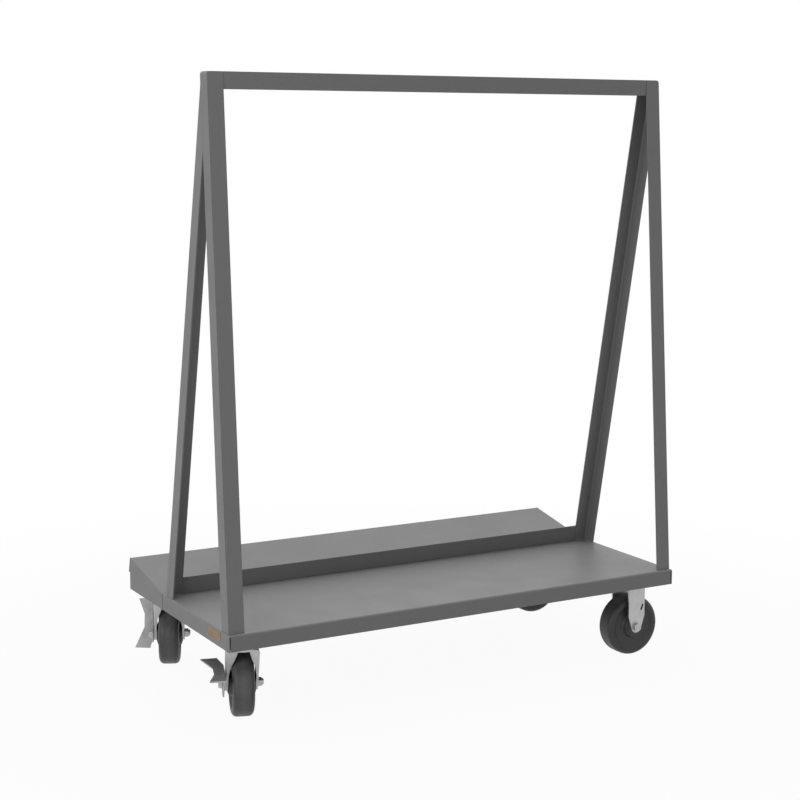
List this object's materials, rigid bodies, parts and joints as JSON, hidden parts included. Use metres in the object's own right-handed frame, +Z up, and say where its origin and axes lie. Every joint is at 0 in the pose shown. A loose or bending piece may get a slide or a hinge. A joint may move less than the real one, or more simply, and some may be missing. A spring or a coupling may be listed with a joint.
{
  "type": "drywall cart",
  "caption": "Steel platform cart with a level deck, a sloping rear ledge and an A-shaped angle frame for leaning sheet goods, on braked swivel and rigid casters.",
  "frame": {"origin": "on the floor under the middle of the platform", "axes": "+X along the platform to the rigid casters, +Y from the open front deck to the sloping ledge, +Z up"},
  "size_m": [1.2418, 0.6345, 1.4478],
  "materials": {
    "painted_steel": "satin grey powder coat",
    "zinc_plate": "bright zinc plate",
    "hardware": "zinc plated hardware",
    "moulded_wheel": "black moulded",
    "name_plate": "tan satin"
  },
  "bodies": {
    "chassis": {"front_deck": "painted_steel", "rear_ledge": "painted_steel", "rear_bar": "painted_steel", "left_caster_channel": "painted_steel", "right_caster_channel": "painted_steel", "deck_stiffener": "painted_steel", "front_leg_left": "painted_steel", "front_leg_right": "painted_steel", "rear_leg_left": "painted_steel", "rear_leg_right": "painted_steel", "top_rail": "painted_steel", "stop_plate": "painted_steel", "name_plate": "name_plate", "caster_bolts": "hardware", "caster_washers": "hardware", "caster_nuts": "hardware", "front_left_top_plate": "zinc_plate", "front_left_kingpin": "hardware", "front_left_kingpin_nut": "hardware", "rear_left_top_plate": "zinc_plate", "rear_left_kingpin": "hardware", "rear_left_kingpin_nut": "hardware", "front_right_fork": "zinc_plate", "front_right_axle_bolt": "hardware", "front_right_axle_nut": "hardware", "front_right_axle_sleeve": "hardware", "front_right_hub_washers": "hardware", "rear_right_fork": "zinc_plate", "rear_right_axle_bolt": "hardware", "rear_right_axle_nut": "hardware", "rear_right_axle_sleeve": "hardware", "rear_right_hub_washers": "hardware"},
    "front_left_swivel": {"front_left_fork": "zinc_plate", "front_left_balls": "hardware", "front_left_axle_bolt": "hardware", "front_left_axle_nut": "hardware", "front_left_axle_sleeve": "hardware", "front_left_hub_washers": "hardware", "front_left_brake_cam": "hardware", "front_left_brake_washer": "hardware"},
    "rear_left_swivel": {"rear_left_fork": "zinc_plate", "rear_left_balls": "hardware", "rear_left_axle_bolt": "hardware", "rear_left_axle_nut": "hardware", "rear_left_axle_sleeve": "hardware", "rear_left_hub_washers": "hardware", "rear_left_brake_cam": "hardware", "rear_left_brake_washer": "hardware"},
    "front_left_wheel_body": {"front_left_wheel": "moulded_wheel", "front_left_rollers": "hardware"},
    "rear_left_wheel_body": {"rear_left_wheel": "moulded_wheel", "rear_left_rollers": "hardware"},
    "front_right_wheel_body": {"front_right_wheel": "moulded_wheel", "front_right_rollers": "hardware"},
    "rear_right_wheel_body": {"rear_right_wheel": "moulded_wheel", "rear_right_rollers": "hardware"},
    "front_left_brake": {"front_left_brake_lever": "zinc_plate"},
    "rear_left_brake": {"rear_left_brake_lever": "zinc_plate"}
  },
  "joints": [
    {"name": "front_left_swivel_turn", "type": "hinge", "parent": "chassis", "child": "front_left_swivel", "pos_m": [-0.5386, -0.2198, 0.1905], "axis": [0, 0, 1], "continuous": true},
    {"name": "front_left_wheel_roll", "type": "hinge", "parent": "front_left_swivel", "child": "front_left_wheel_body", "pos_m": [-0.52623, -0.18387, 0.0762], "axis": [0.9455, -0.3256, 0], "continuous": true},
    {"name": "front_left_brake_swing", "type": "hinge", "parent": "front_left_swivel", "child": "front_left_brake", "pos_m": [-0.52623, -0.18387, 0.0762], "axis": [0.9455, -0.3256, 0], "range_deg": [-96, 0]},
    {"name": "rear_left_swivel_turn", "type": "hinge", "parent": "chassis", "child": "rear_left_swivel", "pos_m": [-0.5386, 0.2198, 0.1905], "axis": [0, 0, 1], "continuous": true},
    {"name": "rear_left_wheel_roll", "type": "hinge", "parent": "rear_left_swivel", "child": "rear_left_wheel_body", "pos_m": [-0.52254, 0.25424, 0.0762], "axis": [0.9063, -0.4226, 0], "continuous": true},
    {"name": "rear_left_brake_swing", "type": "hinge", "parent": "rear_left_swivel", "child": "rear_left_brake", "pos_m": [-0.52254, 0.25424, 0.0762], "axis": [0.9063, -0.4226, 0], "range_deg": [0, 96]},
    {"name": "front_right_wheel_roll", "type": "hinge", "parent": "chassis", "child": "front_right_wheel_body", "pos_m": [0.5386, -0.2198, 0.0762], "axis": [0, 1, 0], "continuous": true},
    {"name": "rear_right_wheel_roll", "type": "hinge", "parent": "chassis", "child": "rear_right_wheel_body", "pos_m": [0.5386, 0.2198, 0.0762], "axis": [0, 1, 0], "continuous": true}
  ]
}
